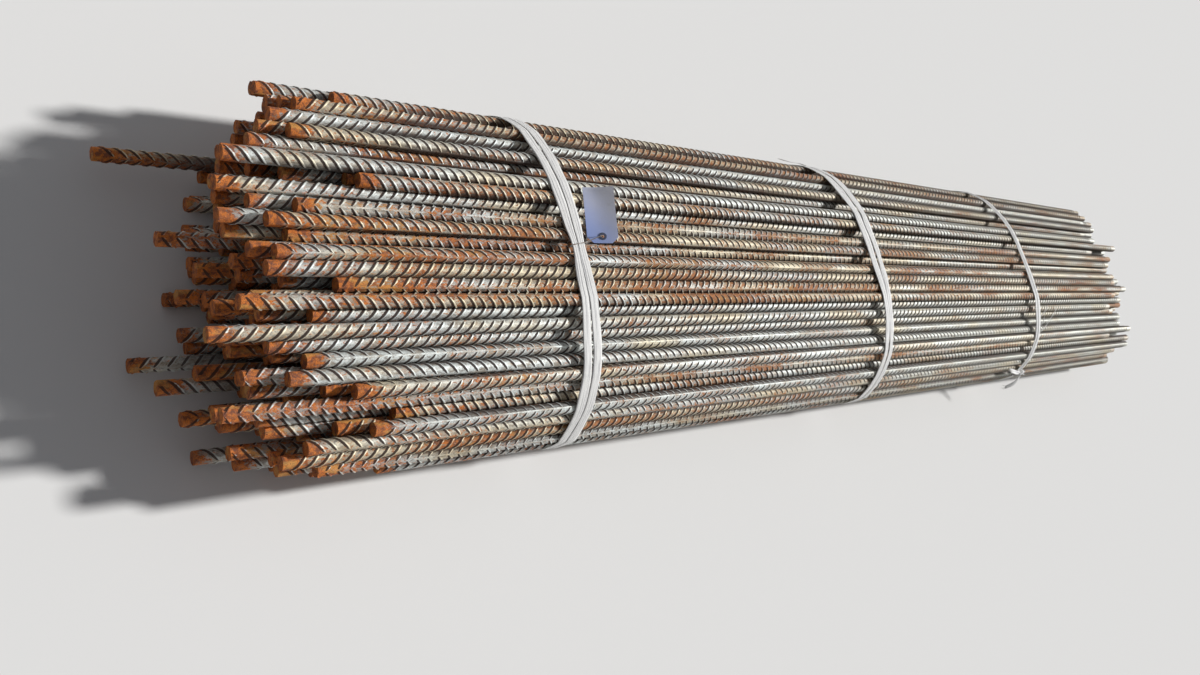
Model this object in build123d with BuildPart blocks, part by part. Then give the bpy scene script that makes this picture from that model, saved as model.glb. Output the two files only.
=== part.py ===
"""Bundle of deformed steel reinforcing bars held by three woven straps, with a paper tag."""
import math
import os

from build123d import *

# The stock: a bar is 7/8 inch nominal and ten feet long, and its ribs keep it off its neighbours.
# It is drawn with flat sides, at the nominal bar's section area.
bar_diameter = 22.2
bar_sides = 10
bar_length = 3048.0
bar_gap = 0.7

# The bundle's cross-section, seen along the bars: a round crown on a flatter belly.
bundle_width = 619.0
waist_height = 100.0
crown_height = 189.0
crown_roundness = 2.23
belly_roundness = 4.0

# How far the near ends of the bars inside the bundle stray from flush, and the slant of the left flank's.
end_scatter = 235.0
scatter_lead = 0.27
left_flank_setback = 150.0

# Woven straps, pulled tight round the bars. The wide ones are two turns side by side.
strap_gap = 0.3
strap_thickness = 1.1
wide_strap_width = 38.0
narrow_strap_width = 22.0
groove_width = 2.0
groove_depth = 0.6
near_strap_place = 505.0
middle_strap_place = 1443.0
far_strap_place = 2299.0

# The knot that closes the far strap, on the bundle's flank, and the strap's two loose ends.
knot_level = 175.0
knot_length = 30.0
knot_width = 25.0
knot_height = 9.0
knot_round = 3.0
long_tail = 52.0
short_tail = 26.0
tail_thickness = 1.4
tail_lift = 3.0

# The paper tag, which leans on the crown beside the near strap.
tag_length = 108.0
tag_width = 54.0
tag_thickness = 0.6
tag_corner_cut = 11.0
tag_tilt = 28.0
tag_yaw = 12.0
tag_offset = 40.0
tag_side = 46.0
eyelet_hole = 7.0
eyelet_ring = 15.0
eyelet_thickness = 0.6
eyelet_inset = 13.0

# The cord that ties the tag to the strap.
tie_diameter = 2.0
tie_sides = 6
tie_gap = 0.4
tie_slack = 2.5

# Places where no bar lies, as (layer counted up from 0, place counted from the middle).
tie_hollow = (13, -1)
hollows = [(13, 2), tie_hollow, (12, 6), (12, -7)]

# Setbacks of the near ends of the bars that show on the crown, from the left flank to the right.
crown_setbacks = [
    115, 60, 55, 167, 60, 70, 82, 40, 20, 56, 3, -30, 10, -52, 135, -59, -20, 35, -8, 23,
    -30, -5, -20, 70, -62, 36, -99, -20, 26, 0, 88, -83, 161, 125, 34, 5, 60,
]

# Bars low in the bundle that lie well ahead of the rest, as (layer, place): setback.
strays = {(2, 9): -142, (1, -5): -128, (8, 1): -113, (3, -7): -109, (3, -9): -84, (5, -2): -79}

pitch = bar_diameter + bar_gap
layer_height = pitch * math.sqrt(3) / 2
bar_radius = bar_diameter / 2
bar_corner = bar_radius * math.sqrt(2 * math.pi / bar_sides / math.sin(2 * math.pi / bar_sides))
strap_seat = bar_corner + strap_gap
first_layer = strap_seat + strap_thickness


def half_width(z):
    """Half the bundle's width at height z."""
    if z >= waist_height:
        share, power = (z - waist_height) / crown_height, crown_roundness
    else:
        share, power = (waist_height - z) / waist_height, belly_roundness
    return bundle_width / 2 * max(0.0, 1 - share**power) ** (1 / power)


def lay_layers():
    """Bar centres as {place: (y, z)} for each layer, each bar in a hollow of the layer below."""
    layers = []
    z = first_layer
    while z + bar_radius < waist_height + crown_height:
        outer = z + math.copysign(bar_radius * 0.8, z - waist_height)
        reach = half_width(outer) - bar_radius * 0.6
        shift = 0.5 * (len(layers) % 2)
        most = int(reach / pitch) + 1
        layers.append({
            place: ((place + shift) * pitch, z)
            for place in range(-most, most + 1)
            if abs(place + shift) * pitch <= reach and (len(layers), place) not in hollows
        })
        z += layer_height
    return layers


def covered(layers, layer, place):
    """True where two bars of the layer above close this bar in."""
    first = place - 1 + layer % 2
    above = layers[layer + 1] if layer + 1 < len(layers) else {}
    return first in above and first + 1 in above


def near_ends(layers):
    """Setback of each bar's near end from the bundle's mean end plane."""
    sites = [(layer, place) for layer, bars in enumerate(layers) for place in bars]
    ends = {}
    for layer, place in sites:
        scatter = end_scatter * ((layer * 7 + place * 11) % 19 / 18 - scatter_lead)
        side = max(0.0, layers[layer][place][0] / (bundle_width / 2))
        ends[layer, place] = scatter + (left_flank_setback - scatter / 2) * side**2
    crown = [s for s in sites if layers[s[0]][s[1]][1] > waist_height and not covered(layers, *s)]
    crown.sort(key=lambda s: -layers[s[0]][s[1]][0])
    ends.update(zip(crown, crown_setbacks))
    ends.update({site: setback for site, setback in strays.items() if site in ends})
    return ends


layers = lay_layers()
ends = near_ends(layers)
near_plane = -(bar_length + min(ends.values()) + max(ends.values())) / 2
crown_top = max(z for bars in layers for y, z in bars.values()) + bar_corner

# The straps' path round the outermost bars, through the centres of those bars.
flank = [bars[max(bars)] for bars in layers]
strap_corners = flank + [bars[min(bars)] for bars in reversed(layers)]


def make_bars(layer):
    """One layer of bars, each set forward or back as it lies."""
    with BuildPart() as stock:
        with BuildSketch(Plane.YZ):
            RegularPolygon(bar_corner, bar_sides, rotation=90)
        extrude(amount=bar_length)
    with BuildPart() as bars:
        with Locations(*[(near_plane + ends[layer, place], y, z) for place, (y, z) in layers[layer].items()]):
            add(stock.part)
    return bars


def strap_face(plane, inner, outer):
    """The ring between two clearances from the centres of the outermost bars."""
    with BuildSketch(plane) as ring:
        with BuildLine():
            Polyline(*strap_corners, close=True)
        make_hull()
        offset(amount=outer, kind=Kind.INTERSECTION)
        with BuildSketch(mode=Mode.SUBTRACT):
            with BuildLine():
                Polyline(*strap_corners, close=True)
            make_hull()
            offset(amount=inner, kind=Kind.INTERSECTION)
    return ring


def make_strap(place, width, turns):
    """A closed strap round the bundle, with a groove between its turns."""
    start = near_plane + place - width / 2
    with BuildPart() as strap:
        ring = strap_face(Plane.YZ.offset(start), strap_seat, strap_seat + strap_thickness)
        extrude(ring.sketch, amount=width)
        for turn in range(1, turns):
            groove = start + width * turn / turns - groove_width / 2
            bottom = strap_seat + strap_thickness - groove_depth
            ring = strap_face(Plane.YZ.offset(groove), bottom, strap_seat + strap_thickness)
            extrude(ring.sketch, amount=groove_width, mode=Mode.SUBTRACT)
    return strap


def make_knot():
    """The far strap's knot and its two loose ends, lying on the strap on the bundle's flank."""
    centre = near_plane + far_strap_place
    outline = strap_face(Plane.YZ.offset(centre), strap_seat, strap_seat + strap_thickness)
    runs = outline.sketch.face().outer_wire().edges().filter_by(GeomType.LINE)
    seat = min((run for run in runs if run.center().Y < 0), key=lambda run: abs(run.center().Z - knot_level))
    up_flank = seat % 0.5 if (seat % 0.5).Z > 0 else -(seat % 0.5)
    plane = Plane(origin=seat.center(), x_dir=up_flank, z_dir=(1, 0, 0))
    middle = strap_gap + knot_height / 2
    with BuildPart() as knot:
        with BuildSketch(plane):
            with Locations((0, middle)):
                SlotOverall(knot_length, knot_height)
        extrude(amount=knot_width / 2, both=True)
        chamfer(knot.faces().filter_by(Axis.X).edges(), length=knot_round)
        with BuildSketch(plane) as ends_sketch:
            with BuildLine():
                ThreePointArc((0, middle), (-long_tail / 2, middle), (-long_tail, middle + tail_lift))
            trace(line_width=tail_thickness)
            with BuildLine():
                Line((0, middle), (short_tail, middle + tail_lift / 2))
            trace(line_width=tail_thickness)
        extrude(amount=narrow_strap_width / 2, both=True)
    return knot


tag_foot = Vector(near_plane + near_strap_place + tag_offset, tag_side, crown_top + strap_gap)
tilt = math.radians(tag_tilt)
tag_plane = Plane(
    origin=tag_foot,
    x_dir=Vector(math.cos(tilt), 0, math.sin(tilt)).rotate(Axis.Z, -tag_yaw),
    z_dir=Vector(-math.sin(tilt), 0, math.cos(tilt)).rotate(Axis.Z, -tag_yaw),
)
eyelet_place = (tag_width / 2, eyelet_inset - tag_length / 2)


def make_tag():
    """A card with clipped corners and a punched hole at the end that is tied."""
    with BuildPart() as tag:
        with BuildSketch(tag_plane) as card:
            Rectangle(tag_width, tag_length, align=(Align.MIN, Align.CENTER))
            chamfer(card.vertices().group_by(Axis.Y)[0], length=tag_corner_cut)
            with Locations(eyelet_place):
                Circle(eyelet_hole / 2, mode=Mode.SUBTRACT)
        extrude(amount=tag_thickness)
    return tag


def make_eyelet():
    """The ring that strengthens the tag's hole, glued to its upper face."""
    with BuildPart() as eyelet:
        with BuildSketch(tag_plane.offset(tag_thickness)):
            with Locations(eyelet_place):
                Circle(eyelet_ring / 2)
                Circle(eyelet_hole / 2, mode=Mode.SUBTRACT)
        extrude(amount=eyelet_thickness)
    return eyelet


def make_tie():
    """A loop of cord that runs under the strap in a hollow of the crown and through the eyelet."""
    layer, place = tie_hollow
    side = (place + 0.5 * (layer % 2)) * pitch
    start = Vector(near_plane + near_strap_place, side, crown_top)
    hole = tag_plane.from_local_coords(eyelet_place)
    along = Vector(hole.X - start.X, hole.Y - start.Y, 0)
    reach = along.length
    along = along.normalized()
    plane = Plane(origin=start, x_dir=along, z_dir=along.cross(Vector(0, 0, 1)))
    clear = tie_gap + tie_diameter / 2
    edge = wide_strap_width / 2 / along.X + clear
    under = strap_gap - clear
    over = strap_gap + strap_thickness + clear
    rise = hole.Z - crown_top
    with BuildPart() as tie:
        with BuildLine(plane) as loop:
            FilletPolyline(
                (-edge, under), (edge + tie_slack, under), (reach, rise / 2), (reach, rise + 3 * clear),
                (edge, over), (-edge, over),
                radius=[(over - under) * 0.49, 8, 2.5, 2.5, 8, (over - under) * 0.49], close=True,
            )
        run = loop.edges().sort_by(SortBy.LENGTH)[-1]
        with BuildSketch(Plane(origin=run @ 0.5, z_dir=run % 0.5)):
            RegularPolygon(tie_diameter / 2, tie_sides)
        sweep(path=loop.wire())
    return tie


os.makedirs("parts", exist_ok=True)
pieces = {f"bars_layer_{layer + 1:02d}": make_bars(layer) for layer in range(len(layers))}
pieces["strap_near"] = make_strap(near_strap_place, wide_strap_width, 2)
pieces["strap_middle"] = make_strap(middle_strap_place, wide_strap_width, 2)
pieces["strap_far"] = make_strap(far_strap_place, narrow_strap_width, 1)
pieces["strap_far_knot"] = make_knot()
pieces["tag"] = make_tag()
pieces["tag_eyelet"] = make_eyelet()
pieces["tag_tie"] = make_tie()
for label, piece in pieces.items():
    piece.part.label = label
    export_step(piece.part, f"parts/{label}.step")
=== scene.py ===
import math
import random
import bmesh
import bpy
import numpy as np
from mathutils import Matrix, Vector
from mathutils.geometry import delaunay_2d_cdt


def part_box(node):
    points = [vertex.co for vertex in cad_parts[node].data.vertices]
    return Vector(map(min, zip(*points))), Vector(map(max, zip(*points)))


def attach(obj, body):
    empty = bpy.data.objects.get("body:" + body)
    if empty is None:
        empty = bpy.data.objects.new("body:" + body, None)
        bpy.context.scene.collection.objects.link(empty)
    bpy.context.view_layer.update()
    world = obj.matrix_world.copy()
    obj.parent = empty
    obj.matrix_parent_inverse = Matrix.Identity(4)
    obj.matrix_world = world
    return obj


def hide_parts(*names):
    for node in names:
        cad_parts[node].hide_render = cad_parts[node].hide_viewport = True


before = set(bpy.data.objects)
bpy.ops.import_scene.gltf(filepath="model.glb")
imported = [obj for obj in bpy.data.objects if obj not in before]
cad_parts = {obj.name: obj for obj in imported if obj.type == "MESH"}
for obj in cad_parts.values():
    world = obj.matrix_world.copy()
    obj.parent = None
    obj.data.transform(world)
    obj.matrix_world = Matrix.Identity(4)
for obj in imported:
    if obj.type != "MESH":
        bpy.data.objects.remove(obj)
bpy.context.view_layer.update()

# The bars: hot-rolled deformed steel, 22 mm, cut to ten feet and stacked in fourteen layers. Each
# has two ribs along it and a row of leaning crescent ribs on each side, rolled in with the bar.
# They carry grey mill scale that has started to rust, most of all towards the sheared ends.
bar_length = 3.048
core_radius = 0.0102
core_sides = 32
long_rib_height = 0.0012
rib_spacing = 0.0180
rib_height = 0.0015
rib_base = 0.0066
rib_lean = 0.0130  # how far a rib's tips lie ahead of and behind its middle
rib_reach = math.radians(84)  # from the middle of a side to a rib's tips
flatness = 1e-4
bar_seed, tone_seed = 7, 1000


def bar_places(node):
    """Near-end centre of each bar in a layer: the top corner of a bar stands over its axis."""
    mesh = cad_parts[node].data
    points = np.empty(len(mesh.vertices) * 3)
    mesh.vertices.foreach_get("co", points)
    points = points.reshape(-1, 3)
    top, bottom = points[:, 2].max(), points[:, 2].min()
    crest = points[points[:, 2] > top - flatness]
    places = {}
    for x, y, _ in crest:
        side = round(float(y), 4)
        places[side] = min(places.get(side, math.inf), float(x))
    return [(x, y, (top + bottom) / 2) for y, x in sorted(places.items())]


class Tree:
    """A node tree being wired: node() adds one and links or sets its inputs."""

    def __init__(self, tree):
        self.tree = tree

    def node(self, kind, inputs=None, **settings):
        made = self.tree.nodes.new(kind)
        for name, value in settings.items():
            setattr(made, name, value)
        for name, value in (inputs or {}).items():
            self.give(made.inputs[name], value)
        return made

    def give(self, socket, value):
        if isinstance(value, bpy.types.Node):
            value = next(out for out in value.outputs if out.enabled)
        if isinstance(value, bpy.types.NodeSocket):
            self.tree.links.new(value, socket)
        else:
            socket.default_value = value

    def math(self, operation, *values):
        made = self.tree.nodes.new("ShaderNodeMath")
        made.operation = operation
        for socket, value in zip(made.inputs, values):
            self.give(socket, value)
        return made.outputs[0]

    def plus(self, a, b):
        return self.math("ADD", a, b)

    def minus(self, a, b):
        return self.math("SUBTRACT", a, b)

    def times(self, a, b):
        return self.math("MULTIPLY", a, b)

    def over(self, a, b):
        return self.math("DIVIDE", a, b)

    def rest(self, share):
        return self.math("SUBTRACT", 1.0, share)

    def axis(self, vector, name):
        return self.node("ShaderNodeSeparateXYZ", {0: vector}).outputs[name]


def geometry_tree(name, inputs):
    """An empty Geometry Nodes tree with named inputs; returns it with its input and output nodes."""
    group = bpy.data.node_groups.new(name, "GeometryNodeTree")
    group.interface.new_socket("Geometry", in_out="INPUT", socket_type="NodeSocketGeometry")
    group.interface.new_socket("Geometry", in_out="OUTPUT", socket_type="NodeSocketGeometry")
    for label, kind, value in inputs:
        socket = group.interface.new_socket(label, in_out="INPUT", socket_type="NodeSocket" + kind)
        if value is not None:
            socket.default_value = value
    tree = Tree(group)
    return tree, group.nodes.new("NodeGroupInput"), group.nodes.new("NodeGroupOutput")


bars_tree, sizes, result = geometry_tree("deformed bars", [
    ("Length", "Float", bar_length), ("Core radius", "Float", core_radius),
    ("Core sides", "Int", core_sides), ("Long rib height", "Float", long_rib_height),
    ("Rib spacing", "Float", rib_spacing), ("Rib height", "Float", rib_height),
    ("Rib base", "Float", rib_base), ("Rib lean", "Float", rib_lean), ("Rib reach", "Float", rib_reach),
    ("Seed", "Int", bar_seed), ("Steel", "Material", None),
])
t, size = bars_tree, sizes.outputs

# A bar's section is a circle with a peak at its top and bottom, drawn out along the bar.
disc = t.node("GeometryNodeMeshCircle", {"Vertices": size["Core sides"], "Radius": size["Core radius"]},
              fill_type="NGON")
section_y = t.axis(t.node("GeometryNodeInputPosition"), "Y")
upness = t.over(t.math("ABSOLUTE", section_y), size["Core radius"])
peak = t.times(t.math("GREATER_THAN", upness, 0.995), size["Long rib height"])
swell = t.plus(1.0, t.over(peak, size["Core radius"]))
swollen = t.node("ShaderNodeVectorMath", {0: t.node("GeometryNodeInputPosition")}, operation="SCALE")
t.give(swollen.inputs["Scale"], swell)
section = t.node("GeometryNodeSetPosition", {"Geometry": disc, "Position": swollen})
upright = t.node("GeometryNodeTransform", {"Geometry": section, "Rotation": (math.pi / 2, 0, math.pi / 2)})
whole_length = t.node("ShaderNodeCombineXYZ", {"X": size["Length"]})
drawn = t.node("GeometryNodeExtrudeMesh", {"Mesh": upright, "Offset": whole_length, "Individual": False},
               mode="FACES")
back = t.node("GeometryNodeFlipFaces", {"Mesh": upright})
closed = t.node("GeometryNodeJoinGeometry")
t.give(closed.inputs[0], drawn.outputs["Mesh"])
t.give(closed.inputs[0], back)
merged = t.node("GeometryNodeMergeByDistance", {"Geometry": closed, "Distance": 1e-5})
# The cut ends keep sharp rims, so that a bar's shading doesn't bend along its length.
edge = t.node("GeometryNodeInputMeshEdgeVertices").outputs
edge_run = t.axis(t.node("ShaderNodeVectorMath", {0: edge["Position 1"], 1: edge["Position 2"]},
                         operation="SUBTRACT"), "X")
at_rim = t.math("LESS_THAN", t.math("ABSOLUTE", edge_run), flatness)
core = t.node("GeometryNodeSetShadeSmooth", {
    "Geometry": merged, "Selection": at_rim, "Shade Smooth": False}, domain="EDGE")


def stored(geometry, name, value):
    """The geometry with one more number kept on each of its points."""
    return t.node("GeometryNodeStoreNamedAttribute", {"Geometry": geometry, "Name": name, "Value": value},
                  data_type="FLOAT", domain="POINT")


def carried(name, kind):
    """A value that the bars' points carry."""
    return t.node("GeometryNodeInputNamedAttribute", {"Name": name}, data_type=kind).outputs["Attribute"]


foot_lift = 0.00036  # the feet stand this far off the core, so that the two surfaces don't fight
far_foot_sink, shadow_edge_sink = 0.0007, 0.00006
far_foot_fade, shadow_edge_fade = 0.8, 0.35  # how much less painted shadow lies there than at the near foot
column_step, column_shift, shadow_edge_shift = 0.40, 0.05, 0.12  # shares of the rib's width
tip_share, tip_power = 0.55, 0.45  # a rib's width at its tips, and how fast it fills out from them


def crescent(side):
    """One leaning rib, low at its two tips, on the bar's left (1) or right (-1) half. Four lines of points
    run along it, at -1.5 to 1.5: the edge of the painted shadow on its near side, its near foot, its crest
    and far foot."""
    patch = t.node("GeometryNodeMeshGrid", {"Size X": 3.0, "Size Y": 2.0, "Vertices X": 4, "Vertices Y": 7})
    across, round_bar = (t.axis(t.node("GeometryNodeInputPosition"), name) for name in "XY")
    angle = t.times(round_bar, size["Rib reach"])
    from_tip = t.rest(t.times(round_bar, round_bar))
    fullness = t.math("POWER", t.math("MAXIMUM", from_tip, 0.0), tip_power)
    shadow_edge = t.math("LESS_THAN", across, -1.0)
    crest = t.times(t.math("GREATER_THAN", across, 0.0), t.math("LESS_THAN", across, 1.0))
    far_foot = t.math("GREATER_THAN", across, 1.0)
    # Painted shadow: darkest at the rib's near foot, on the side away from the lamp, paler at the shadow's
    # outer edge and the far foot, none on the crest.
    rib_shadow = t.minus(t.rest(crest), t.times(far_foot, far_foot_fade))
    rib_shadow = t.minus(rib_shadow, t.times(shadow_edge, shadow_edge_fade))
    rise = t.times(t.times(fullness, crest), size["Rib height"])
    rise = t.minus(t.plus(rise, foot_lift), t.times(far_foot, far_foot_sink))
    rise = t.minus(rise, t.times(shadow_edge, shadow_edge_sink))
    radius = t.plus(size["Core radius"], rise)
    column = t.plus(t.times(across, column_step), column_shift)
    column = t.minus(column, t.times(shadow_edge, shadow_edge_shift))
    width = t.times(size["Rib base"], t.plus(tip_share, t.times(fullness, 1.0 - tip_share)))
    x = t.plus(t.times(column, width), t.times(round_bar, size["Rib lean"]))
    y = t.times(t.times(radius, t.math("COSINE", angle)), float(side))
    z = t.times(radius, t.math("SINE", angle))
    place = t.node("ShaderNodeCombineXYZ", {"X": x, "Y": y, "Z": z})
    marked = stored(stored(patch, "crest", crest), "rib_shadow", rib_shadow)
    shaped = t.node("GeometryNodeSetPosition", {"Geometry": marked, "Position": place})
    return t.node("GeometryNodeFlipFaces", {"Mesh": shaped}) if side > 0 else shaped


rib_pair = t.node("GeometryNodeJoinGeometry")
t.give(rib_pair.inputs[0], crescent(1))
t.give(rib_pair.inputs[0], crescent(-1))
pair = t.node("GeometryNodeGeometryToInstance", {"Geometry": rib_pair})


def rib_row(count, start):
    """Pairs of ribs at even steps along a bar that starts at the origin."""
    step = t.node("ShaderNodeCombineXYZ", {"X": size["Rib spacing"]})
    first = t.node("ShaderNodeCombineXYZ", {"X": start})
    line = t.node("GeometryNodeMeshLine", {"Count": count, "Start Location": first, "Offset": step})
    return t.node("GeometryNodeInstanceOnPoints", {"Points": line, "Instance": pair})


row_clear = 0.006  # plain bar before the first rib and after the last
usable = t.minus(size["Length"], row_clear * 2 + rib_spacing)
full_row = rib_row(t.math("FLOOR", t.over(usable, size["Rib spacing"])), row_clear)
number = carried("number", "INT")


def chance(low, high, extra):
    """A number drawn once for each bar."""
    seed = t.node("FunctionNodeIntegerMath", {0: size["Seed"], 1: extra}, operation="ADD")
    drawn_lot = t.node("FunctionNodeRandomValue", {"ID": number, "Seed": seed}, data_type="FLOAT")
    for name, value in (("Min", low), ("Max", high)):
        next(s for s in drawn_lot.inputs if s.name == name and s.enabled).default_value = value
    return next(out for out in drawn_lot.outputs if out.enabled)


roll = t.node("ShaderNodeCombineXYZ", {"X": chance(0.0, 2 * math.pi, 1)})
stagger = t.node("ShaderNodeCombineXYZ", {"X": chance(0.0, rib_spacing, 2)})
parts = t.node("GeometryNodeJoinGeometry")
cores = t.node("GeometryNodeInstanceOnPoints", {
    "Points": size["Geometry"], "Instance": core, "Rotation": roll})
t.give(parts.inputs[0], t.node("GeometryNodeRealizeInstances", {"Geometry": cores}))

# Ribs that a bar turns to the inside of the bundle are left off, and so is the middle of a buried bar.
hidden_side = -0.05  # a rib's face that looks outwards less than this is hidden
open_ends = 0.26  # but this near to a bar's ends it is seen from all round
cut_clear = 0.003  # and no rib runs nearer than this to the cut
outward = carried("outward", "FLOAT_VECTOR")
near_end, bare_from, bare_to = (carried(name, "FLOAT") for name in ("near_end", "bare_from", "bare_to"))
turned = t.node("ShaderNodeVectorMath", {0: t.node("GeometryNodeInputNormal"), 1: outward},
                operation="DOT_PRODUCT").outputs["Value"]
depth = t.minus(t.axis(t.node("GeometryNodeInputPosition"), "X"), near_end)


def between(low, high):
    return t.times(t.math("GREATER_THAN", depth, low), t.math("LESS_THAN", depth, high))


inside = t.times(t.math("LESS_THAN", turned, hidden_side),
                 between(open_ends, t.minus(size["Length"], open_ends)))
past_end = t.rest(between(cut_clear, t.minus(size["Length"], cut_clear)))
unseen = t.math("MAXIMUM", t.math("MAXIMUM", inside, between(bare_from, bare_to)), past_end)
row = t.node("GeometryNodeGeometryToInstance", {"Geometry": full_row})
laid = t.node("GeometryNodeInstanceOnPoints", {
    "Points": size["Geometry"], "Instance": row, "Rotation": roll})
placed = t.node("GeometryNodeTranslateInstances", {"Instances": laid, "Translation": stagger})
ribs = t.node("GeometryNodeRealizeInstances", {"Geometry": placed})
t.give(parts.inputs[0], t.node("GeometryNodeDeleteGeometry", {"Geometry": ribs, "Selection": unseen},
                               domain="FACE"))
real = t.node("GeometryNodeRealizeInstances", {"Geometry": parts})
face_turn = t.axis(t.node("GeometryNodeInputNormal"), "X")
cut_face = t.math("GREATER_THAN", t.math("ABSOLUTE", face_turn), 0.99)
# How far each point looks out of the bundle: the material paints shade where the bars turn to each other.
facing_out = stored(real, "open_side", turned)
smooth = t.node("GeometryNodeSetShadeSmooth", {"Geometry": facing_out, "Shade Smooth": t.rest(cut_face)})
finished = t.node("GeometryNodeSetMaterial", {"Geometry": smooth, "Material": size["Steel"]})
t.give(result.inputs[0], finished)

# The bars' finish: grey mill scale, worn bright on the ribs' crests, under orange rust in patches and
# specks. The sheared ends and the first few centimetres are worst. A painted shadow lies dark on each
# rib's near side, painted shade in the gaps between bars, and the scale is painted darker towards the far
# end.
scale_dark = (0.25, 0.225, 0.20, 1)
scale_cool = (0.68, 0.725, 0.70, 1)
scale_warm = (0.71, 0.63, 0.445, 1)
scale_far_shade = (0.36, 0.345, 0.265, 1)
scale_stain = (0.25, 0.18, 0.105, 1)
rust_orange = (0.72, 0.20, 0.022, 1)
rust_brown = (0.22, 0.060, 0.022, 1)
rust_ochre = (0.74, 0.38, 0.09, 1)
rust_faded = (0.33, 0.18, 0.085, 1)
deep_rust_and_shade = (0.035, 0.017, 0.013, 1)
end_rust_reach, end_rust_gain = 0.045, 0.34
middle_tone, tone_gain, tone_step = 0.62, 0.26, 37.0
fine_gain, crest_wear, far_wear = 1.3, 0.2, 0.055
fade_from, fade_to = 0.10, 0.60
far_from, far_to = 0.5, 2.4
gloss_metal, gloss_smooth, dull_rough = 0.3, 0.30, 0.86


class Finish(Tree):
    """A material being wired: look holds its shader's inputs, spot the object's own coordinates."""

    def __init__(self, name):
        self.material = bpy.data.materials.new(name)
        self.material.use_nodes = True
        super().__init__(self.material.node_tree)
        self.look = self.tree.nodes["Principled BSDF"].inputs
        self.spot = self.node("ShaderNodeTexCoord").outputs["Object"]

    def attribute(self, name):
        return self.node("ShaderNodeAttribute", attribute_name=name).outputs["Fac"]

    def noise(self, vector, scale, detail, rough=0.5):
        return self.node("ShaderNodeTexNoise", {
            "Vector": vector, "Scale": scale, "Detail": detail, "Roughness": rough}).outputs["Fac"]

    def stretched(self, scale, offset=None, detail=4.0, rough=0.6, stretch=(1, 1, 1)):
        """Noise on the object's own coordinates, stretched along the bars."""
        mapped = self.node("ShaderNodeVectorMath", {0: self.spot, 1: stretch}, operation="MULTIPLY")
        if offset is not None:
            moved = self.node("ShaderNodeCombineXYZ", {"X": offset, "Y": offset})
            mapped = self.node("ShaderNodeVectorMath", {0: mapped, 1: moved}, operation="ADD")
        return self.noise(mapped, scale, detail, rough)

    def ramp(self, value, low, high):
        """0 below low, 1 above high, smooth between."""
        return self.node("ShaderNodeMapRange", {"Value": value, "From Min": low, "From Max": high},
                         interpolation_type="SMOOTHSTEP").outputs[0]

    def mixed(self, share, a, b):
        made = self.node("ShaderNodeMix", data_type="RGBA")
        for socket, value in ((made.inputs[0], share), (made.inputs[6], a), (made.inputs[7], b)):
            self.give(socket, value)
        return made.outputs[2]

    def bump(self, height, strength, distance):
        made = self.node("ShaderNodeBump", {"Height": height, "Strength": strength, "Distance": distance})
        self.give(self.look["Normal"], made)


m = steel = Finish("rusting mill scale")
tone, crest, rib_shadow = (m.attribute(name) for name in ("tone", "crest", "rib_shadow"))
per_bar = m.times(tone, tone_step)
from_near = m.minus(m.axis(m.spot, "X"), m.attribute("near_end"))
end_rust = m.rest(m.ramp(from_near, 0.0, end_rust_reach))
facing = m.axis(m.node("ShaderNodeTexCoord").outputs["Normal"], "X")
sheared = m.ramp(m.math("ABSOLUTE", facing), 0.93, 0.97)
far = m.ramp(from_near, far_from, far_to)

patches = m.stretched(9.0, per_bar, detail=5.0, rough=0.62, stretch=(0.55, 2.2, 2.2))
fine = m.stretched(210.0, per_bar, detail=5.0, rough=0.72, stretch=(0.7, 1.2, 1.2))
speckle = m.stretched(780.0, per_bar, detail=3.0, rough=0.75)
bar_rust = m.times(m.minus(tone, middle_tone), tone_gain)
amount = m.plus(patches, bar_rust)
amount = m.plus(amount, m.times(m.minus(fine, 0.5), fine_gain))
amount = m.plus(amount, m.times(end_rust, end_rust_gain))
amount = m.minus(amount, m.times(crest, crest_wear))
amount = m.minus(amount, m.times(m.ramp(from_near, 0.4, 1.8), far_wear))
rust = m.math("MAXIMUM", m.times(m.ramp(amount, 0.44, 0.63), 0.95), sheared)

warmth = m.stretched(5.0, per_bar, detail=2.0, rough=0.5, stretch=(1, 3, 3))
scale_light = m.mixed(m.ramp(m.plus(warmth, bar_rust), 0.40, 0.62), scale_cool, scale_warm)
scale_colour = m.mixed(m.ramp(m.plus(fine, m.times(crest, 0.16)), 0.32, 0.60), scale_dark, scale_light)
stains = m.stretched(65.0, per_bar, detail=6.0, rough=0.7, stretch=(0.5, 1.3, 1.3))
stain = m.times(m.times(m.ramp(stains, 0.48, 0.60), 0.55), m.rest(m.times(crest, 0.7)))
scale_colour = m.mixed(stain, scale_colour, scale_stain)
# Painted shade: the scale is coloured darker towards the far end.
scale_colour = m.mixed(m.times(far, 0.45), scale_colour, scale_far_shade)

mottle = m.stretched(120.0, per_bar, detail=6.0, rough=0.78)
rust_colour = m.mixed(m.ramp(mottle, 0.40, 0.58), rust_brown, rust_orange)
blooms = m.stretched(30.0, per_bar, detail=4.0, rough=0.6, stretch=(0.6, 1.5, 1.5))
rust_colour = m.mixed(m.times(m.ramp(blooms, 0.54, 0.64), 0.6), rust_colour, rust_ochre)
rust_colour = m.mixed(m.times(m.ramp(speckle, 0.47, 0.68), 0.75), rust_colour, deep_rust_and_shade)
rust_colour = m.mixed(m.times(m.ramp(from_near, fade_from, fade_to), 0.45), rust_colour, rust_faded)
rust_colour = m.mixed(m.times(sheared, 0.45), rust_colour, deep_rust_and_shade)

# Painted shadow at each rib's near foot, reaching wider towards the far end.
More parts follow.
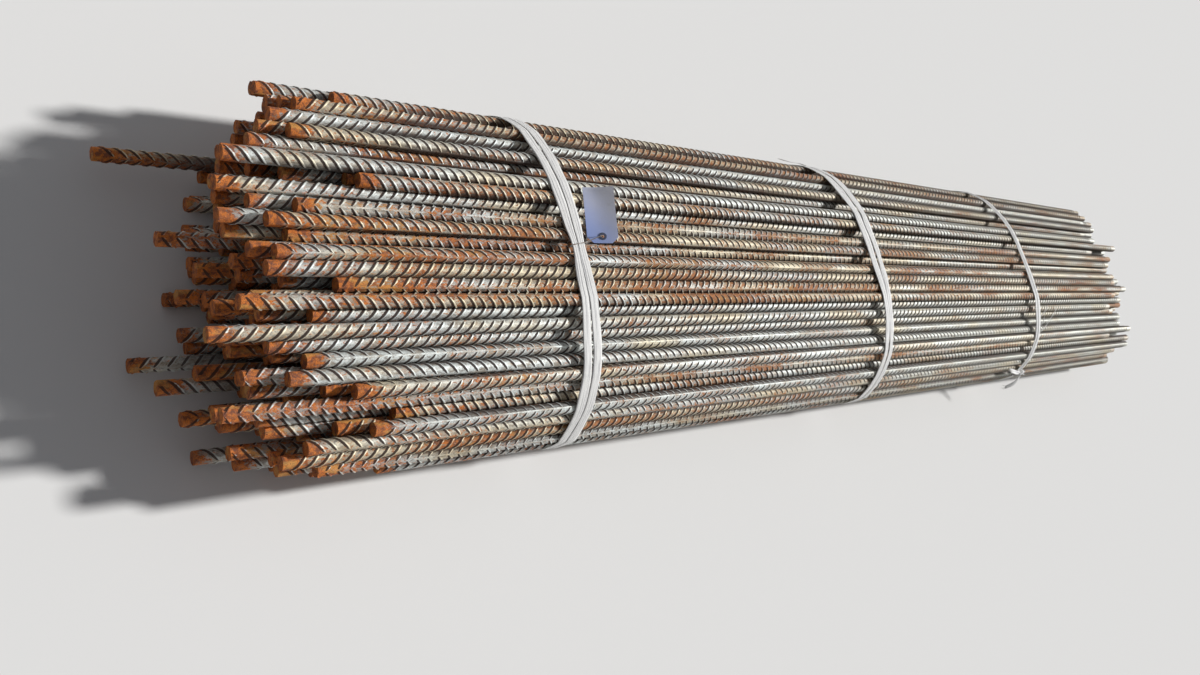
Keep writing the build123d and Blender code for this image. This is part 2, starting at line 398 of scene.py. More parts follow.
rib_foot_shadow = m.math("MAXIMUM", m.ramp(rib_shadow, 0.2, 0.6), m.times(m.ramp(rib_shadow, 0.03, 0.35), m.times(far, 0.9)))
# Painted shade in the gaps, where the bars turn to each other, less of it at the near ends.
gap_shade = m.times(m.rest(m.ramp(m.attribute("open_side"), 0.05, 0.60)), m.ramp(from_near, 0.02, 0.20))
painted_shade = m.math("MAXIMUM", m.times(rib_foot_shadow, 0.92), m.times(gap_shade, 0.88))
# The darkest rust colour serves both for deep rust specks and for the painted shade.
m.give(m.look["Base Color"], m.mixed(painted_shade, m.mixed(rust, scale_colour, rust_colour), deep_rust_and_shade))
bare = m.times(m.rest(rust), m.rest(painted_shade))
m.give(m.look["Metallic"], m.times(bare, gloss_metal))
m.give(m.look["Roughness"], m.minus(dull_rough, m.times(bare, gloss_smooth)))
m.look["Specular IOR Level"].default_value = 0.3
grain = m.plus(m.times(speckle, 0.5), m.times(fine, m.plus(0.3, rust)))
m.bump(grain, 0.55, 0.0006)

layer_nodes = sorted(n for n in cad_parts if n.startswith("bars_layer"))
layers = [bar_places(node) for node in layer_nodes]
bar_spacing = 0.0229
buried_near, buried_far = 0.14, 0.07  # how far a buried bar is seen, in from its near and its far end
near_slope, far_slope = 1.6, 1.3  # and how much farther for each metre that it stands out there
belly_z, flank_share = 0.1, 0.45  # where the ways out of the bundle start, and how they spread sideways
near_line = sum(x for row in layers for x, _, _ in row) / sum(len(row) for row in layers)


def shows(layer, y):
    """A bar shows along its length if it lies outermost in its layer, or two bars don't cover it."""
    row = layers[layer]
    above = [] if layer + 1 == len(layers) else [
        bar for bar in layers[layer + 1] if abs(bar[1] - y) < bar_spacing * 0.6]
    return len(above) < 2 or (layer > 0 and y in (row[0][1], row[-1][1]))


def bare_stretch(layer, x, y):
    """Where a buried bar's hidden middle starts and stops, measured from its near end."""
    if shows(layer, y):
        return bar_length * 2, bar_length * 3
    lead = max(0.0, near_line - x)
    trail = max(0.0, x - near_line)
    return buried_near + lead * near_slope, bar_length - buried_far - trail * far_slope


def carry(points, name, kind, field, values):
    points.attributes.new(name, kind, "POINT").data.foreach_set(field, values)


def add_object(name, data):
    made = bpy.data.objects.new(name, data)
    bpy.context.collection.objects.link(made)
    return made


def evaluated_mesh(holder):
    return bpy.data.meshes.new_from_object(holder.evaluated_get(bpy.context.evaluated_depsgraph_get()))


steel_socket = next(item for item in bars_tree.tree.interface.items_tree if item.name == "Steel")
bar_count = 0
for layer, (node, row) in enumerate(zip(layer_nodes, layers)):
    points = bpy.data.meshes.new(node + "_places")
    points.from_pydata(row, [], [])
    carry(points, "near_end", "FLOAT", "value", [x for x, _, _ in row])
    carry(points, "number", "INT", "value", list(range(bar_count, bar_count + len(row))))
    stretches = [bare_stretch(layer, x, y) for x, y, _ in row]
    carry(points, "bare_from", "FLOAT", "value", [start for start, _ in stretches])
    carry(points, "bare_to", "FLOAT", "value", [stop for _, stop in stretches])
    ways = [Vector((0, y * flank_share, z - belly_z)).normalized() for _, y, z in row]
    carry(points, "outward", "FLOAT_VECTOR", "vector", [c for way in ways for c in way])
    draw = random.Random(tone_seed + layer)
    carry(points, "tone", "FLOAT", "value", [draw.random() for _ in row])
    bar_count += len(row)
    holder = add_object(node + "_holder", points)
    make = holder.modifiers.new("bars", "NODES")
    make.node_group = bars_tree.tree
    make[steel_socket.identifier] = steel.material
    mesh = evaluated_mesh(holder)
    holder.modifiers.remove(make)
    bpy.data.objects.remove(holder)
    bars = add_object("ribbed_" + node, mesh)
    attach(bars, "root")
    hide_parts(node)


# The straps: white woven polyester, drawn tight round the whole bundle. The near and the middle one are
# two turns of 19 mm strap side by side, and the far one is two turns that overlap. The near strap is
# pinched by the tag's tie at the crown, and the middle one's turns lie spread on the left of it.
ply_thickness = 0.0012
ply_columns = 8
straight_step = 0.012
corner_step = math.radians(7)
strap_seat = 0.01195
floor_clear = 0.0002
span_bow, span_radius = 0.004, 0.3  # a free span's bow: at most this, and no rounder than that circle
crown_z = 0.2
cord_pitch, pick_pitch = 0.0021, 0.0034
strap_white, strap_shade, strap_dirt = (0.90, 0.885, 0.85, 1), (0.38, 0.375, 0.38, 1), (0.40, 0.32, 0.24, 1)

m = webbing = Finish("woven strap")
weave = m.node("ShaderNodeSeparateXYZ", {0: m.node("ShaderNodeUVMap", uv_map="weave")}).outputs


def woven_noise(across, along, detail, rough=0.5):
    """Noise on the weave's own map, drawn out along the strap."""
    spot = m.node("ShaderNodeCombineXYZ", {
        "X": m.times(weave["X"], across), "Y": m.times(weave["Y"], along)})
    return m.noise(spot, 1.0, detail, rough)


cords = m.math("ABSOLUTE", m.math("SINE", m.times(weave["X"], math.pi / cord_pitch)))
picks = m.math("ABSOLUTE", m.math("SINE", m.times(weave["Y"], math.pi / pick_pitch)))
fibres = woven_noise(2200.0, 60.0, 3.0)
creases = woven_noise(160.0, 16.0, 3.0)
folds = woven_noise(420.0, 7.0, 4.0, 0.6)
lit = m.plus(0.45, m.times(m.ramp(m.times(cords, fibres), 0.02, 0.25), 0.55))
lit = m.times(lit, m.ramp(folds, 0.36, 0.50))
soiled = m.times(m.ramp(m.stretched(18.0, detail=5.0, rough=0.65), 0.56, 0.80), 0.30)
m.give(m.look["Base Color"], m.mixed(soiled, m.mixed(lit, strap_shade, strap_white), strap_dirt))
m.look["Roughness"].default_value = 0.62
m.look["Sheen Weight"].default_value = 0.15
height = m.plus(m.times(cords, 0.5), m.times(fibres, 0.35))
height = m.plus(height, m.times(picks, 0.08))
height = m.plus(height, m.plus(m.times(creases, 1.4), m.times(folds, 1.6)))
m.bump(height, 0.8, 0.0007)


def strap_centre(node):
    low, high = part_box(node)
    return (low.x + high.x) / 2


def hull(points):
    """The convex outline of points in the plane, turning left."""
    points = sorted(set(points))
    sides = []
    for run in (points, points[::-1]):
        side = []
        for p in run:
            while len(side) > 1 and ((side[-1][0] - side[-2][0]) * (p[1] - side[-2][1])
                                     - (side[-1][1] - side[-2][1]) * (p[0] - side[-2][0])) <= 1e-9:
                side.pop()
            side.append(p)
        sides += side[:-1]
    return sides


def strap_path():
    """Points round the bundle with their outward directions: (y, z, out y, out z)."""
    corners = hull([(round(row[i][1], 5), round(row[i][2], 5)) for row in layers for i in (0, -1)])
    path, outs = [], []
    for (y0, z0), (y1, z1) in zip(corners, corners[1:] + corners[:1]):
        outs.append(math.atan2(y0 - y1, z1 - z0))
    for i, (y, z) in enumerate(corners):
        before, after = outs[i - 1], outs[i]
        while after < before:
            after += 2 * math.pi
        steps = max(1, round((after - before) / corner_step))
        for k in range(steps + 1):
            a = before + (after - before) * k / steps
            path.append((y, z, math.cos(a), math.sin(a)))
        y1, z1 = corners[(i + 1) % len(corners)]
        run = math.hypot(y1 - y, z1 - z)
        bow = min(span_bow, run * run / (8 * span_radius)) * ((z + z1) / 2 > belly_z)
        for k in range(1, int(run / straight_step)):
            share = k / int(run / straight_step)
            tip = after + (share - 0.5) * 8 * bow / run
            rise = 4 * bow * share * (1 - share)
            path.append((y + (y1 - y) * share + rise * math.cos(after),
                         z + (z1 - z) * share + rise * math.sin(after), math.cos(tip), math.sin(tip)))
    return path


bundle_path = strap_path()


sway_size, swell_size, cup_size = 0.0010, 0.0008, 0.5  # of a turn's middle, its width and its hollow
ply_bow = 0.00035  # how far a turn's middle stands up between its edges


def wander(draw, waves, size):
    """A gentle closed wave with a few random parts; its place runs from 0 to 1 round the bundle."""
    parts = [(draw.choice(waves), draw.uniform(0, 2 * math.pi), draw.uniform(0.4, 1) * size)
             for _ in range(4)]
    return lambda place: sum(h * math.sin(2 * math.pi * n * place + f) for n, f, h in parts)


def ply(centre, width, lift, seed):
    """One turn of strap round the bundle, as rows of (x, y, z, across, along) points."""
    draw = random.Random(seed)
    sway, swell = wander(draw, (3, 5, 8, 17), sway_size), wander(draw, (5, 9, 13, 24), swell_size)
    cup = wander(draw, (9, 14, 23), cup_size)
    lengths = [0.0]
    for (y0, z0, a0, b0), (y1, z1, a1, b1) in zip(bundle_path, bundle_path[1:] + bundle_path[:1]):
        lengths.append(lengths[-1] + math.hypot(y1 + a1 * strap_seat - y0 - a0 * strap_seat,
                                                z1 + b1 * strap_seat - z0 - b0 * strap_seat))
    rows = []
    for (y, z, a, b), run in zip(bundle_path, lengths):
        place = run / lengths[-1]
        middle, half = centre(y, z) + sway(place), width(y, z) / 2 + swell(place)
        profile = []
        for side in (1, -1):
            for k in range(ply_columns + 1):
                u = (k / ply_columns * 2 - 1) * side
                edge = (1 - abs(u) ** 6) ** 0.5
                bow = ply_bow * math.cos(math.pi * u * 1.5 + cup(place) * 3) * (1 - u * u)
                out = strap_seat + ply_thickness / 2 * (1 + side * edge) + lift + abs(bow)
                if 0 < k < ply_columns or side > 0:
                    profile.append((middle + u * half, y + a * out, max(z + b * out, floor_clear),
                                    u * half, run))
        rows.append(profile)
    return rows


def strap(name, plies):
    """A closed strap of one or more turns, as one piece."""
    verts, faces, spots = [], [], []
    for turn, (centre, width, lift) in enumerate(plies):
        rows = ply(centre, width, lift, len(name) * 10 + turn)
        start, wide = len(verts), len(rows[0])
        for profile in rows:
            verts += [p[:3] for p in profile]
        for i, row in enumerate(rows):
            j = (i + 1) % len(rows)
            end_run = rows[j][0][4] if j else row[0][4] + straight_step
            for k in range(wide):
                n = (k + 1) % wide
                faces.append([start + i * wide + k, start + j * wide + k,
                              start + j * wide + n, start + i * wide + n])
                spots += [(row[k][3], row[k][4]), (rows[j][k][3], end_run),
                          (rows[j][n][3], end_run), (row[n][3], row[n][4])]
    mesh = bpy.data.meshes.new(name)
    mesh.from_pydata(verts, [], faces)
    mesh.polygons.foreach_set("use_smooth", [True] * len(faces))
    mesh.uv_layers.new(name="weave").data.foreach_set("uv", [c for spot in spots for c in spot])
    mesh.materials.append(webbing.material)
    return add_object(name, mesh)


near_x, middle_x, far_x = (strap_centre(n) for n in ("strap_near", "strap_middle", "strap_far"))
wide_strap, near_spread = 0.038, 0.006
pinch_y, pinch_reach, pinch_depth = -0.018, 0.03, 0.011


def near_width(y, z):
    """Both turns of the near strap together: wide on the left of the crown, pinched at the tag's tie."""
    left = min(1.0, max(0.0, y / 0.2))
    pinch = pinch_depth * math.exp(-((y - pinch_y) / pinch_reach) ** 2) * (z > crown_z)
    return wide_strap + near_spread * left - pinch


def left_crown(y, z):
    """1 on the left of the crown, where the middle strap's two turns lie spread; 0 right and below."""
    return min(1.0, max(0.0, (y + 0.14) / 0.30)) * min(1.0, max(0.0, (z - 0.10) / 0.05))


def one_turn(middle, offset, width, lift, left_offset=0.0, left_width=0.0):
    """One turn's place, width and lift; the left of the crown adds to its offset and width."""
    return (lambda y, z: middle + offset + left_offset * left_crown(y, z),
            lambda y, z: width + left_width * left_crown(y, z), lift)


near_strap = strap("near_strap", [
    (lambda y, z: near_x - near_width(y, z) * 0.25, lambda y, z: near_width(y, z) * 0.50, 0.0),
    (lambda y, z: near_x + near_width(y, z) * 0.25, lambda y, z: near_width(y, z) * 0.52, 0.0005)])
middle_strap = strap("middle_strap", [
    one_turn(middle_x, offset=-0.0085, width=0.0195, lift=0.0, left_offset=-0.003, left_width=0.013),
    one_turn(middle_x, offset=0.0095, width=0.018, lift=0.0004, left_offset=0.011, left_width=0.010)])
far_strap = strap("far_strap", [
    one_turn(far_x, offset=-0.004, width=0.0195, lift=0.0),
    one_turn(far_x, offset=0.0065, width=0.0165, lift=0.0013)])
for body, node in ((near_strap, "strap_near"), (middle_strap, "strap_middle"), (far_strap, "strap_far")):
    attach(body, "root")
    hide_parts(node)

# The knot that closes the far strap low on the right flank: two crossing wraps of the strap's own end
# drawn tight, two loose ends that fray, a short stub, and a few fibres pulled out of the strap higher up.
run_sides = 10
wrap_points = 10
wrap_thickness, end_thickness = 0.0030, 0.0016
fray_count, fray_seed = 14, 21
fibre_gap = 0.0018
flank_out = Vector((0.0, -0.866, 0.5))
flank_up = Vector((0.0, 0.5, 0.866))
knot_place = Vector((far_x, -0.3035, 0.1505))
first_end = [(-0.006, 0.002, 0.009), (-0.022, 0.008, 0.012), (-0.045, 0.010, 0.010), (-0.070, 0.016, 0.007),
             (-0.094, 0.019, 0.008)]
second_end = [(0.004, -0.003, 0.010), (0.008, -0.016, 0.014), (0.000, -0.030, 0.016),
              (-0.014, -0.043, 0.014), (-0.026, -0.053, 0.010)]
stub = [(0.008, 0.002, 0.009), (0.030, -0.003, 0.010), (0.055, -0.011, 0.008)]
pulled_fibres = [
    [(0.013, -0.168, 0.2675), (0.034, -0.157, 0.2745), (0.054, -0.146, 0.2775), (0.073, -0.136, 0.2770)],
    [(0.012, -0.212, 0.2500), (0.040, -0.198, 0.2610), (0.074, -0.176, 0.2690), (0.104, -0.163, 0.2730),
     (0.134, -0.147, 0.2745)],
    [(0.012, -0.193, 0.2585), (0.028, -0.183, 0.2660), (0.030, -0.170, 0.2705), (0.044, -0.162, 0.2700)]]


def soft_line(points, closed):
    """Points along one smooth curve that bends close to the given ones."""
    curve = bpy.data.curves.new("line", "CURVE")
    curve.dimensions, curve.resolution_u = "3D", 5
    spline = curve.splines.new("NURBS")
    spline.points.add(len(points) - 1)
    for point, place in zip(spline.points, points):
        point.co = (*place, 1.0)
    spline.use_cyclic_u, spline.order_u, spline.use_endpoint_u = closed, 3, not closed
    holder = add_object("line", curve)
    line = [v.co.copy() for v in evaluated_mesh(holder).vertices]
    bpy.data.objects.remove(holder)
    return line


def turn_outwards(mesh):
    shape = bmesh.new()
    shape.from_mesh(mesh)
    bmesh.ops.recalc_face_normals(shape, faces=shape.faces)
    shape.to_mesh(mesh)
    shape.free()


def along_run(value, share):
    """A value that may change along a run."""
    return value(share) if callable(value) else value


def drawn_piece(name, runs, finish):
    """One piece of flat or round lengths: each run has points, a width, a thickness, the way its flat
    face looks, and whether it closes on itself. Its width and that way may change with its share."""
    verts, faces, spots = [], [], []
    for points, width, thick, outward, closed in runs:
        line = soft_line(points, closed)
        start, count, run = len(verts), len(line), 0.0
        for i, p in enumerate(line):
            ahead = line[(i + 1) % count] if closed or i + 1 < count else p
            behind = line[i - 1] if closed or i else p
            heading = (ahead - behind).normalized()
            side = heading.cross(along_run(outward, i / (count - 1))).normalized()
            face = side.cross(heading)
            run += (p - line[i - 1]).length if i else 0.0
            half = along_run(width, i / (count - 1)) / 2
            for k in range(run_sides):
                a = 2 * math.pi * k / run_sides
                across, out = math.cos(a), math.sin(a)
                verts.append(tuple(p + side * half * across + face * thick / 2 * out))
                spots.append((half * across, run))
        for i in range(count if closed else count - 1):
            j = (i + 1) % count
            for k in range(run_sides):
                n = (k + 1) % run_sides
                faces.append([start + i * run_sides + k, start + i * run_sides + n,
                              start + j * run_sides + n, start + j * run_sides + k])
        if not closed:
            faces.append([start + k for k in range(run_sides)][::-1])
            faces.append([start + (count - 1) * run_sides + k for k in range(run_sides)])
    mesh = bpy.data.meshes.new(name)
    mesh.from_pydata(verts, [], faces)
    turn_outwards(mesh)
    mesh.polygons.foreach_set("use_smooth", [len(f.vertices) == 4 for f in mesh.polygons])
    weave_map = mesh.uv_layers.new(name="weave")
    for loop, spot in zip(mesh.loops, weave_map.data):
        spot.uv = spots[loop.vertex_index]
    mesh.materials.append(finish.material)
    return add_object(name, mesh)


def at_knot(x, up, out):
    return knot_place + Vector((x, 0, 0)) + flank_up * up + flank_out * out


def wrap(tilt, reach_x, reach_out, lean):
    """A loop of strap end round the strap, leaning one way across it."""
    loop = []
    for k in range(wrap_points):
        a = 2 * math.pi * k / wrap_points
        x = reach_x * math.cos(a)
        loop.append(at_knot(x, tilt * x + lean * math.sin(a), 0.0035 + reach_out * math.sin(a)))
    return loop


knot_runs = [
    (wrap(0.55, 0.0165, 0.0055, 0.002), 0.0125, wrap_thickness, -flank_up, True),
    (wrap(-0.7, 0.0145, 0.0070, -0.003), 0.0105, wrap_thickness, -flank_up, True),
    ([at_knot(*p) for p in first_end], lambda s: 0.010 + 0.006 * s, end_thickness,
     lambda s: Vector((0, -0.866 + s, 0.5 + s)), False),
    ([at_knot(*p) for p in second_end], lambda s: 0.010 + 0.004 * math.sin(3 * s), end_thickness,
     Vector((0.1, -0.4, 1.0)), False),
    ([at_knot(*p) for p in stub], lambda s: 0.0045 - 0.003 * s, 0.0010, flank_out, False),
]
fray = random.Random(fray_seed)


def fray_by(reach):
    return Vector([fray.uniform(-reach, reach) for _ in range(3)])


for k in range(fray_count):
    tip, base = (at_knot(*first_end[-1]), Vector((-1, 0, 0.3))) if k % 2 else (
        at_knot(*second_end[-1]), Vector((-0.8, 0.2, -1)))
    away = (base + fray_by(0.7)).normalized()
    start = tip - base.normalized() * 0.006 + fray_by(0.002)
    bend = fray_by(0.004)
    knot_runs.append(([start, start + away * 0.011 + bend, start + away * fray.uniform(0.013, 0.020)],
                      lambda s: 0.0009 - 0.0004 * s, 0.0006, flank_out, False))
for route in pulled_fibres:
    for beside in (0.0, fibre_gap):
        knot_runs.append(([Vector((far_x + x + beside, y - beside, z)) for x, y, z in route],
                          lambda s: 0.0013 - 0.0006 * s, 0.0009, Vector((0, 0, 1)), False))
knot = drawn_piece("far_strap_knot", knot_runs, webbing)
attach(knot, "root")
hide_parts("strap_far_knot")

# The middle strap's loose end: a short flat length of the strap that lies along the outermost bar on
# the left flank and points back to the near end.
loose_end = [(-0.006, 0.281, 0.192), (-0.022, 0.2865, 0.190), (-0.050, 0.2850, 0.192),
             (-0.080, 0.2840, 0.193), (-0.112, 0.2865, 0.194)]
strap_end = drawn_piece("middle_strap_end", [
    ([(middle_x + x, y, z) for x, y, z in loose_end], lambda s: 0.018 - 0.004 * s, 0.0014,
     Vector((0.0, 0.8, 0.6)), False)], webbing)
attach(strap_end, "root")

# The tag: a card of pale paper with clipped corners and one punched hole, tied to the near strap.
# It leans on the crown and curls a little. Its colour carries painted shade, a sky blue that is strongest
# towards the corner by the hole.
card_width, card_length, card_clip, card_thickness = 0.054, 0.108, 0.011, 0.0005
hole_radius, hole_sides, hole_place = 0.0030, 20, (0.027, -0.041)
curl_height, wave_height, wave_rate, card_lift = 0.0055, 0.0016, 22, 0.0016
curl_from, curl_reach, card_seat = -0.012, 0.066, 0.0009
card_step, edge_clear, hole_clear = 0.0045, 0.002, 0.0015
card_sky_shade, card_pale, card_soil = (0.42, 0.54, 1.0, 1), (0.95, 0.94, 1.0, 1), (0.55, 0.52, 0.50, 1)
tilt, yaw = math.radians(28.0), math.radians(12.0)
card_x = Vector((math.cos(tilt) * math.cos(yaw), -math.cos(tilt) * math.sin(yaw), math.sin(tilt)))
card_z = Vector((-math.sin(tilt) * math.cos(yaw), math.sin(tilt) * math.sin(yaw), math.cos(tilt)))
card_y = card_z.cross(card_x)
eyelet_low, eyelet_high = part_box("tag_eyelet")
card_origin = (eyelet_low + eyelet_high) / 2 - card_x * hole_place[0] - card_y * hole_place[1]
card_origin -= card_z * card_seat


def on_card(u, v, lift=0.0):
    """A place on the curled card, from its place on the flat one."""
    corner = max(0.0, u / card_width) ** 2 * max(0.0, (v - curl_from) / curl_reach) ** 2
    turn = math.pi * u / card_width
    wave = math.cos(v * wave_rate) * wave_height
    rise = curl_height * corner - wave * math.sin(turn) + wave * (1 - math.cos(turn)) * 0.3
    return card_origin + card_x * u + card_y * v + card_z * (lift + rise + card_lift)


def from_hole(u, v):
    return math.hypot(u - hole_place[0], v - hole_place[1])


half_length = card_length / 2
card_outline = [
    (0, card_clip - half_length), (card_clip, -half_length), (card_width - card_clip, -half_length),
    (card_width, card_clip - half_length), (card_width, half_length), (0, half_length)]
rim = []
for (u0, v0), (u1, v1) in zip(card_outline, card_outline[1:] + card_outline[:1]):
    steps = max(1, round(math.hypot(u1 - u0, v1 - v0) / card_step))
    rim += [(u0 + (u1 - u0) * k / steps, v0 + (v1 - v0) * k / steps) for k in range(steps)]
hole = [(hole_place[0] + hole_radius * math.cos(a), hole_place[1] + hole_radius * math.sin(a))
        for a in (2 * math.pi * k / hole_sides for k in range(hole_sides))]
inner = [(u * card_step, v * card_step) for u in range(1, 12) for v in range(-12, 12)]
inner = [(u, v) for u, v in inner if u < card_width - edge_clear and v < half_length - edge_clear
         and v > -half_length + max(0.0, card_clip - u, card_clip - card_width + u) + edge_clear
         and from_hole(u, v) > hole_radius + hole_clear]
loops = [(k, (k + 1) % len(rim)) for k in range(len(rim))]
loops += [(len(rim) + k, len(rim) + (k + 1) % len(hole)) for k in range(len(hole))]
flat, _, cells, *_ = delaunay_2d_cdt([Vector(p) for p in rim + hole + inner], loops, [], 1, 1e-6)
cells = [c for c in cells
         if from_hole(sum(flat[i].x for i in c) / 3, sum(flat[i].y for i in c) / 3) > hole_radius * 0.98]
card_mesh = bpy.data.meshes.new("tag_card")
card_mesh.from_pydata([tuple(on_card(p.x, p.y)) for p in flat], [], cells)
card_mesh.polygons.foreach_set("use_smooth", [True] * len(card_mesh.polygons))
for card_edge in card_mesh.edges:
    card_edge.use_edge_sharp = all(i < len(rim) + len(hole) for i in card_edge.vertices)
card_map = card_mesh.uv_layers.new(name="card")
for loop, spot in zip(card_mesh.loops, card_map.data):
    spot.uv = (flat[loop.vertex_index].x / card_width, flat[loop.vertex_index].y / card_length + 0.5)

m = paper = Finish("tag paper")
card_spot = m.node("ShaderNodeSeparateXYZ", {0: m.node("ShaderNodeUVMap", uv_map="card")}).outputs
# Painted shade: sky blue over the pale paper, fading from the end by the hole towards the far corner.
sky_shade_fade = m.plus(m.times(card_spot["X"], 0.45), m.times(card_spot["Y"], 0.75))
sky_shade_fade = m.ramp(m.plus(sky_shade_fade, m.times(m.stretched(26.0, detail=3.0), 0.25)), 0.15, 1.30)
soil = m.times(m.ramp(m.stretched(60.0, detail=6.0, rough=0.7), 0.56, 0.80), 0.35)
m.give(m.look["Base Color"], m.mixed(soil, m.mixed(sky_shade_fade, card_sky_shade, card_pale), card_soil))
m.look["Roughness"].default_value = 0.55
fibre = m.plus(m.stretched(900.0, detail=3.0), m.times(m.stretched(45.0, detail=3.0), 2.0))
m.bump(fibre, 0.15, 0.0003)
card_mesh.materials.append(paper.material)
card = add_object("tag_card", card_mesh)
wall = card.modifiers.new("paper", "SOLIDIFY")
wall.thickness, wall.offset = card_thickness, -1.0
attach(card, "root")
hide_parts("tag")

# The tag's eyelet: a ring of dark pressed board, glued round the hole, that keeps the tie from tearing
# the paper. Its edges are rounded by the press.
ring_radius, ring_thickness, ring_turns = 0.0072, 0.0006, 32
ring_sunk = -0.0001
ring_profile = [
    (hole_radius, ring_sunk), (hole_radius, ring_thickness * 0.7), (hole_radius + 0.0004, ring_thickness),
    (ring_radius - 0.0006, ring_thickness), (ring_radius, ring_thickness * 0.4), (ring_radius, ring_sunk)]
board_dark, board_blue = (0.045, 0.055, 0.10, 1), (0.12, 0.14, 0.22, 1)
m = board = Finish("pressed board")
m.give(m.look["Base Color"], m.mixed(m.ramp(m.stretched(700.0), 0.35, 0.65), board_dark, board_blue))
m.look["Roughness"].default_value = 0.7
m.bump(m.stretched(900.0, detail=3.0), 0.4, 0.0003)
ring_verts, ring_faces, ring_wide = [], [], len(ring_profile)
for k in range(ring_turns):
    a = 2 * math.pi * k / ring_turns
    ring_verts += [tuple(on_card(hole_place[0] + r * math.cos(a), hole_place[1] + r * math.sin(a), lift))
                   for r, lift in ring_profile]
    n = (k + 1) % ring_turns
    for i in range(ring_wide):
        j = (i + 1) % ring_wide
        ring_faces.append([k * ring_wide + i, k * ring_wide + j, n * ring_wide + j, n * ring_wide + i])
ring_mesh = bpy.data.meshes.new("tag_eyelet_ring")
ring_mesh.from_pydata(ring_verts, [], ring_faces)
turn_outwards(ring_mesh)
ring_mesh.materials.append(board.material)
ring = add_object("tag_eyelet_ring", ring_mesh)
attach(ring, "root")
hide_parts("tag_eyelet")

# The tag's tie: soft dark wire, closed in a loop that pinches the near strap at the crown and runs
# through the tag's eyelet, with its twisted end left sticking out beside the strap.
wire_width = 0.0017
wire_facing = Vector((0.1, -0.3, 0.95))
wire_grey, wire_rust = (0.20, 0.195, 0.19, 1), (0.13, 0.075, 0.045, 1)
m = soft_wire = Finish("soft dark wire")
m.give(m.look["Base Color"], m.mixed(m.ramp(m.stretched(420.0), 0.45, 0.62), wire_grey, wire_rust))
m.look["Metallic"].default_value = 0.6
m.give(m.look["Roughness"], m.plus(0.38, m.times(m.stretched(300.0, detail=3.0), 0.3)))
eye = on_card(*hole_place)


def by_strap(*places):
    return [Vector((near_x + x, y, z)) for x, y, z in places]


over_strap = by_strap(
    (-0.0175, -0.0165, 0.2858), (-0.0165, -0.0160, 0.2895), (-0.008, -0.0140, 0.2912),
    (0.008, -0.0110, 0.2912), (0.0165, -0.0090, 0.2895), (0.028, -0.0050, 0.2905), (0.042, -0.0015, 0.2955))
through_eye = [eye + card_z * 0.004 - card_x * 0.002, eye + card_z * 0.001, eye - card_z * 0.004]
under_strap = by_strap(
    (0.042, -0.0030, 0.2868), (0.026, -0.0065, 0.2852), (0.012, -0.0100, 0.2842), (-0.010, -0.0150, 0.2842))
twisted_end = by_strap(
    (0.0165, -0.0090, 0.2880), (0.024, -0.0125, 0.2890), (0.034, -0.0125, 0.2895), (0.044, -0.0120, 0.2885),
    (0.0455, -0.0165, 0.2880), (0.040, -0.0190, 0.2875), (0.033, -0.0185, 0.2870))
tie = drawn_piece("tag_tie_wire", [
    (over_strap + through_eye + under_strap, wire_width, wire_width, wire_facing, True),
    (twisted_end, wire_width, wire_width, wire_facing, False)], soft_wire)
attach(tie, "root")
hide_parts("tag_tie")

# The floor: a plain pale sheet that the bundle lies on.
floor_colour, floor_reach = (0.80, 0.79, 0.77, 1), 20
floor_mesh = bpy.data.meshes.new("floor")
floor_corners = [(-1, -1), (1, -1), (1, 1), (-1, 1)]
floor_mesh.from_pydata([(x * floor_reach, y * floor_reach, 0) for x, y in floor_corners],
                       [], [(0, 1, 2, 3)])
m = matt = Finish("pale floor")
m.look["Base Color"].default_value = floor_colour
m.look["Roughness"].default_value = 1.0
m.look["Specular IOR Level"].default_value = 0.0
floor_mesh.materials.append(matt.material)
floor = add_object("floor", floor_mesh)

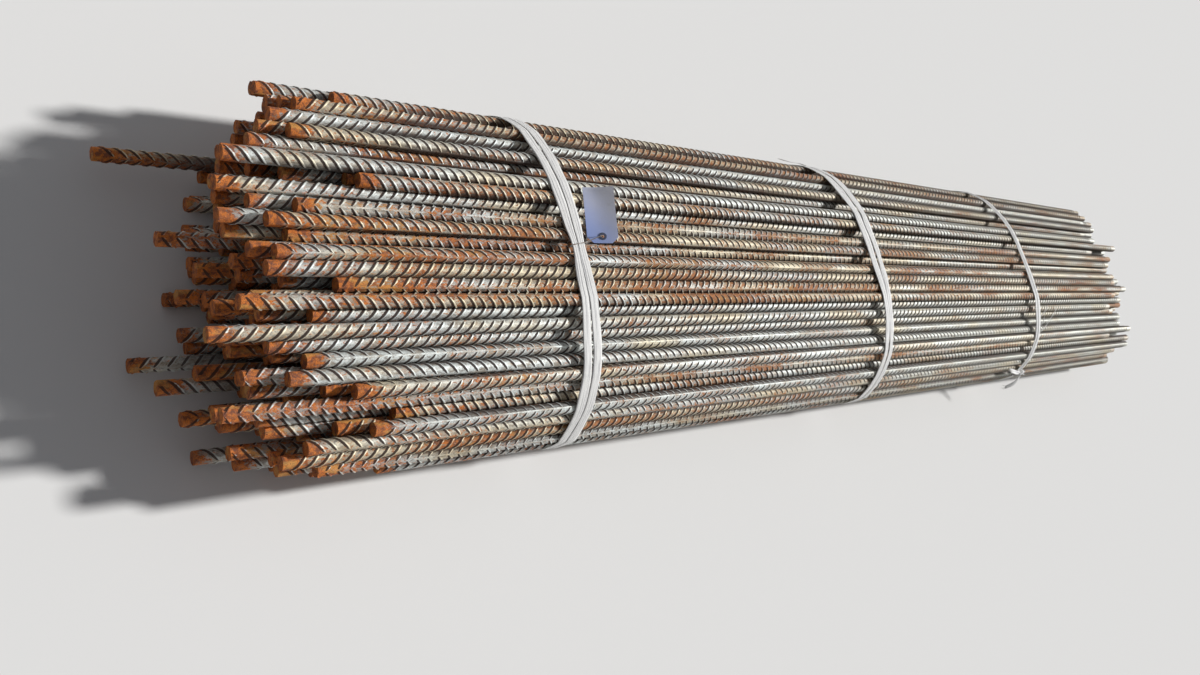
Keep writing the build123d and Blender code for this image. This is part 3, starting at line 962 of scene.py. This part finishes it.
# Light: one soft lamp, low beyond the far end, and a pale surround. The camera and mirrored rays see
# the plain backdrop instead of the surround's own light.
lamp_energy, lamp_angle, lamp_way = 3.9, math.radians(5), Vector((-0.80, 0.05, -0.60))
surround_colour, surround_strength = (0.9, 0.93, 1.0, 1), 0.2
backdrop_colour = (0.82, 0.82, 0.81, 1)
lamp = bpy.data.lights.new("key", "SUN")
lamp.energy, lamp.angle = lamp_energy, lamp_angle
lamp_body = add_object("key", lamp)
lamp_body.rotation_euler = lamp_way.to_track_quat("-Z", "Y").to_euler()
world = bpy.data.worlds.new("surround")
world.use_nodes = True
m = Tree(world.node_tree)
surround = world.node_tree.nodes["Background"]
surround.inputs["Color"].default_value = surround_colour
surround.inputs["Strength"].default_value = surround_strength
ray = m.node("ShaderNodeLightPath").outputs
mirrored = m.math("MAXIMUM", ray["Is Glossy Ray"], ray["Is Transmission Ray"])
seen = m.math("MAXIMUM", ray["Is Camera Ray"], mirrored)
backdrop = m.node("ShaderNodeBackground", {"Color": backdrop_colour, "Strength": 1.0})
both = m.node("ShaderNodeMixShader", {0: seen, 1: surround, 2: backdrop})
m.give(world.node_tree.nodes["World Output"].inputs["Surface"], both)
bpy.context.scene.world = world

# The camera stands behind the near end, above the bundle, and is turned a quarter on its side.
picture_width, picture_height, focal_px = 1200.0, 675.0, 901.0
bars_vanish_px = (1578.1, 291.8)
plumb_vanish_px = (-209.8, 768.9)
camera_place = Vector((strap_centre("strap_near") - 0.9883, -0.5026, 1.305))


def sight(x, y):
    """Direction of a pixel from the camera: right, down, forward."""
    return Vector((x - picture_width / 2, y - picture_height / 2, focal_px)).normalized()


bars_sight = sight(*bars_vanish_px)
plumb_sight = sight(*plumb_vanish_px)
plumb_sight = (plumb_sight - bars_sight * plumb_sight.dot(bars_sight)).normalized()
side_sight = (-plumb_sight).cross(bars_sight)
right, down, forward = (Vector((bars_sight[i], side_sight[i], -plumb_sight[i])) for i in range(3))
camera = bpy.data.cameras.new("camera")
camera.sensor_width = 36.0
camera.lens = camera.sensor_width * focal_px / picture_width
camera_body = add_object("camera", camera)
facing_way = Matrix((right, -down, -forward)).transposed().to_4x4()
camera_body.matrix_world = Matrix.Translation(camera_place) @ facing_way
bpy.context.scene.camera = camera_body

bpy.context.scene.view_settings.view_transform = "Standard"
